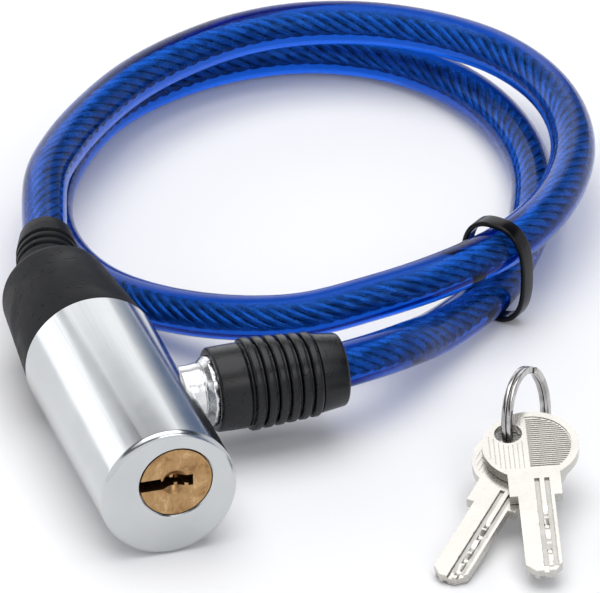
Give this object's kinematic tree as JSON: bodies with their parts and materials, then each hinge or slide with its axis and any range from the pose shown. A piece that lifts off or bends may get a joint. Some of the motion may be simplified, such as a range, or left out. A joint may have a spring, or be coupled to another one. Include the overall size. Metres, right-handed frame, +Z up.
{
  "type": "cable luggage lock",
  "caption": "Round chrome cable lock: keyed plug in its face, blue jacketed cable coiled from a black boot to a side bolt with a ribbed sleeve, band round the coil, keys on a split ring.",
  "frame": {"origin": "centre of the shell's front face", "axes": "-Y out of the front face, +Y along the shell to the boot and cable, +X along the bolt as it is pulled out, +Z up from the surface that the lock lies on"},
  "size_m": [0.121, 0.1878, 0.024],
  "materials": {
    "shell_chrome": "satin chrome plate",
    "core_zinc": "plain zinc casting",
    "black_rubber": "matte, lightly grained",
    "inner_steel": "plain",
    "rope_steel": "bright twisted wire",
    "blue_jacket": "clear and glossy",
    "plug_brass": "worn, with fine scratches",
    "pin_brass": "plain",
    "bolt_plating": "bright plate",
    "black_band": "glossy",
    "ring_steel": "bright wire",
    "key_nickel": "nickel plate with fine engraved lines"
  },
  "bodies": {
    "lock": {"outer_shell": "shell_chrome", "lock_core": "core_zinc", "rear_boot": "black_rubber", "cable_ferrule": "inner_steel", "ferrule_pin": "inner_steel", "cable_core": "rope_steel", "cable_jacket": "blue_jacket", "spring_strip": "inner_steel", "pin_spring_1": "inner_steel", "pin_spring_2": "inner_steel", "pin_spring_3": "inner_steel", "pin_spring_4": "inner_steel", "pin_spring_5": "inner_steel"},
    "plug": {"plug": "plug_brass", "plug_clip": "inner_steel", "drive_pin": "inner_steel"},
    "latch": {"latch": "inner_steel"},
    "bolt": {"bolt": "bolt_plating", "bolt_sleeve": "black_rubber"},
    "coil_ring": {"coil_ring": "black_band"},
    "key_pin_1": {"key_pin_1": "pin_brass"},
    "key_pin_2": {"key_pin_2": "pin_brass"},
    "key_pin_3": {"key_pin_3": "pin_brass"},
    "key_pin_4": {"key_pin_4": "pin_brass"},
    "key_pin_5": {"key_pin_5": "pin_brass"},
    "driver_pin_1": {"driver_pin_1": "pin_brass"},
    "driver_pin_2": {"driver_pin_2": "pin_brass"},
    "driver_pin_3": {"driver_pin_3": "pin_brass"},
    "driver_pin_4": {"driver_pin_4": "pin_brass"},
    "driver_pin_5": {"driver_pin_5": "pin_brass"},
    "split_ring": {"split_ring": "ring_steel"},
    "key_1": {"key_1": "key_nickel"},
    "key_2": {"key_2": "key_nickel"}
  },
  "joints": [
    {"name": "plug_turn", "type": "hinge", "parent": "lock", "child": "plug", "pos_m": [0.0011, 0, 0.0021], "axis": [0, -1, 0], "range_deg": [0, 90]},
    {"name": "latch_slide", "type": "slide", "parent": "lock", "child": "latch", "axis": [0, 0, -1], "range_m": [0, 0.00412]},
    {"name": "bolt_slide", "type": "slide", "parent": "lock", "child": "bolt", "axis": [1, 0, 0], "range_m": [0, 0.022], "deforming": ["cable_jacket", "cable_core"]},
    {"name": "band_slide", "type": "slide", "parent": "lock", "child": "coil_ring", "axis": [0.766, 0.6428, 0], "range_m": [-0.004, 0.001]},
    {"name": "key_pin_1_lift", "type": "slide", "parent": "plug", "child": "key_pin_1", "axis": [0, 0, 1], "range_m": [0, 0.0006]},
    {"name": "key_pin_2_lift", "type": "slide", "parent": "plug", "child": "key_pin_2", "axis": [0, 0, 1], "range_m": [0, 0.0006]},
    {"name": "key_pin_3_lift", "type": "slide", "parent": "plug", "child": "key_pin_3", "axis": [0, 0, 1], "range_m": [0, 0.0006]},
    {"name": "key_pin_4_lift", "type": "slide", "parent": "plug", "child": "key_pin_4", "axis": [0, 0, 1], "range_m": [0, 0.0006]},
    {"name": "key_pin_5_lift", "type": "slide", "parent": "plug", "child": "key_pin_5", "axis": [0, 0, 1], "range_m": [0, 0.0006]},
    {"name": "driver_pin_1_press", "type": "slide", "parent": "lock", "child": "driver_pin_1", "axis": [0, 0, -1], "range_m": [0, 0.0007], "stiffness_N_per_m": 100, "springref_m": -0.001, "deforming": ["pin_spring_1"]},
    {"name": "driver_pin_2_press", "type": "slide", "parent": "lock", "child": "driver_pin_2", "axis": [0, 0, -1], "range_m": [0, 0.0007], "stiffness_N_per_m": 100, "springref_m": -0.001, "deforming": ["pin_spring_2"]},
    {"name": "driver_pin_3_press", "type": "slide", "parent": "lock", "child": "driver_pin_3", "axis": [0, 0, -1], "range_m": [0, 0.0007], "stiffness_N_per_m": 100, "springref_m": -0.001, "deforming": ["pin_spring_3"]},
    {"name": "driver_pin_4_press", "type": "slide", "parent": "lock", "child": "driver_pin_4", "axis": [0, 0, -1], "range_m": [0, 0.0007], "stiffness_N_per_m": 100, "springref_m": -0.001, "deforming": ["pin_spring_4"]},
    {"name": "driver_pin_5_press", "type": "slide", "parent": "lock", "child": "driver_pin_5", "axis": [0, 0, -1], "range_m": [0, 0.0007], "stiffness_N_per_m": 100, "springref_m": -0.001, "deforming": ["pin_spring_5"]},
    {"name": "key_ring_lift", "type": "slide", "parent": "lock", "child": "split_ring", "axis": [0, 0, 1], "range_m": [0, 0.12]},
    {"name": "key_1_swing", "type": "hinge", "parent": "split_ring", "child": "key_1", "pos_m": [0.0615, 0.0036, -0.00291], "axis": [-0.0976, -0.1836, 0.9781], "range_deg": [-40, 40]},
    {"name": "key_2_swing", "type": "hinge", "parent": "split_ring", "child": "key_2", "pos_m": [0.0615, 0.0036, -0.00291], "axis": [-0.0976, -0.1836, 0.9781], "range_deg": [-40, 40]}
  ],
  "couplings": [
    {"joint": "latch_slide", "follows": "plug_turn", "m_per_rad": 0.0026109}
  ]
}
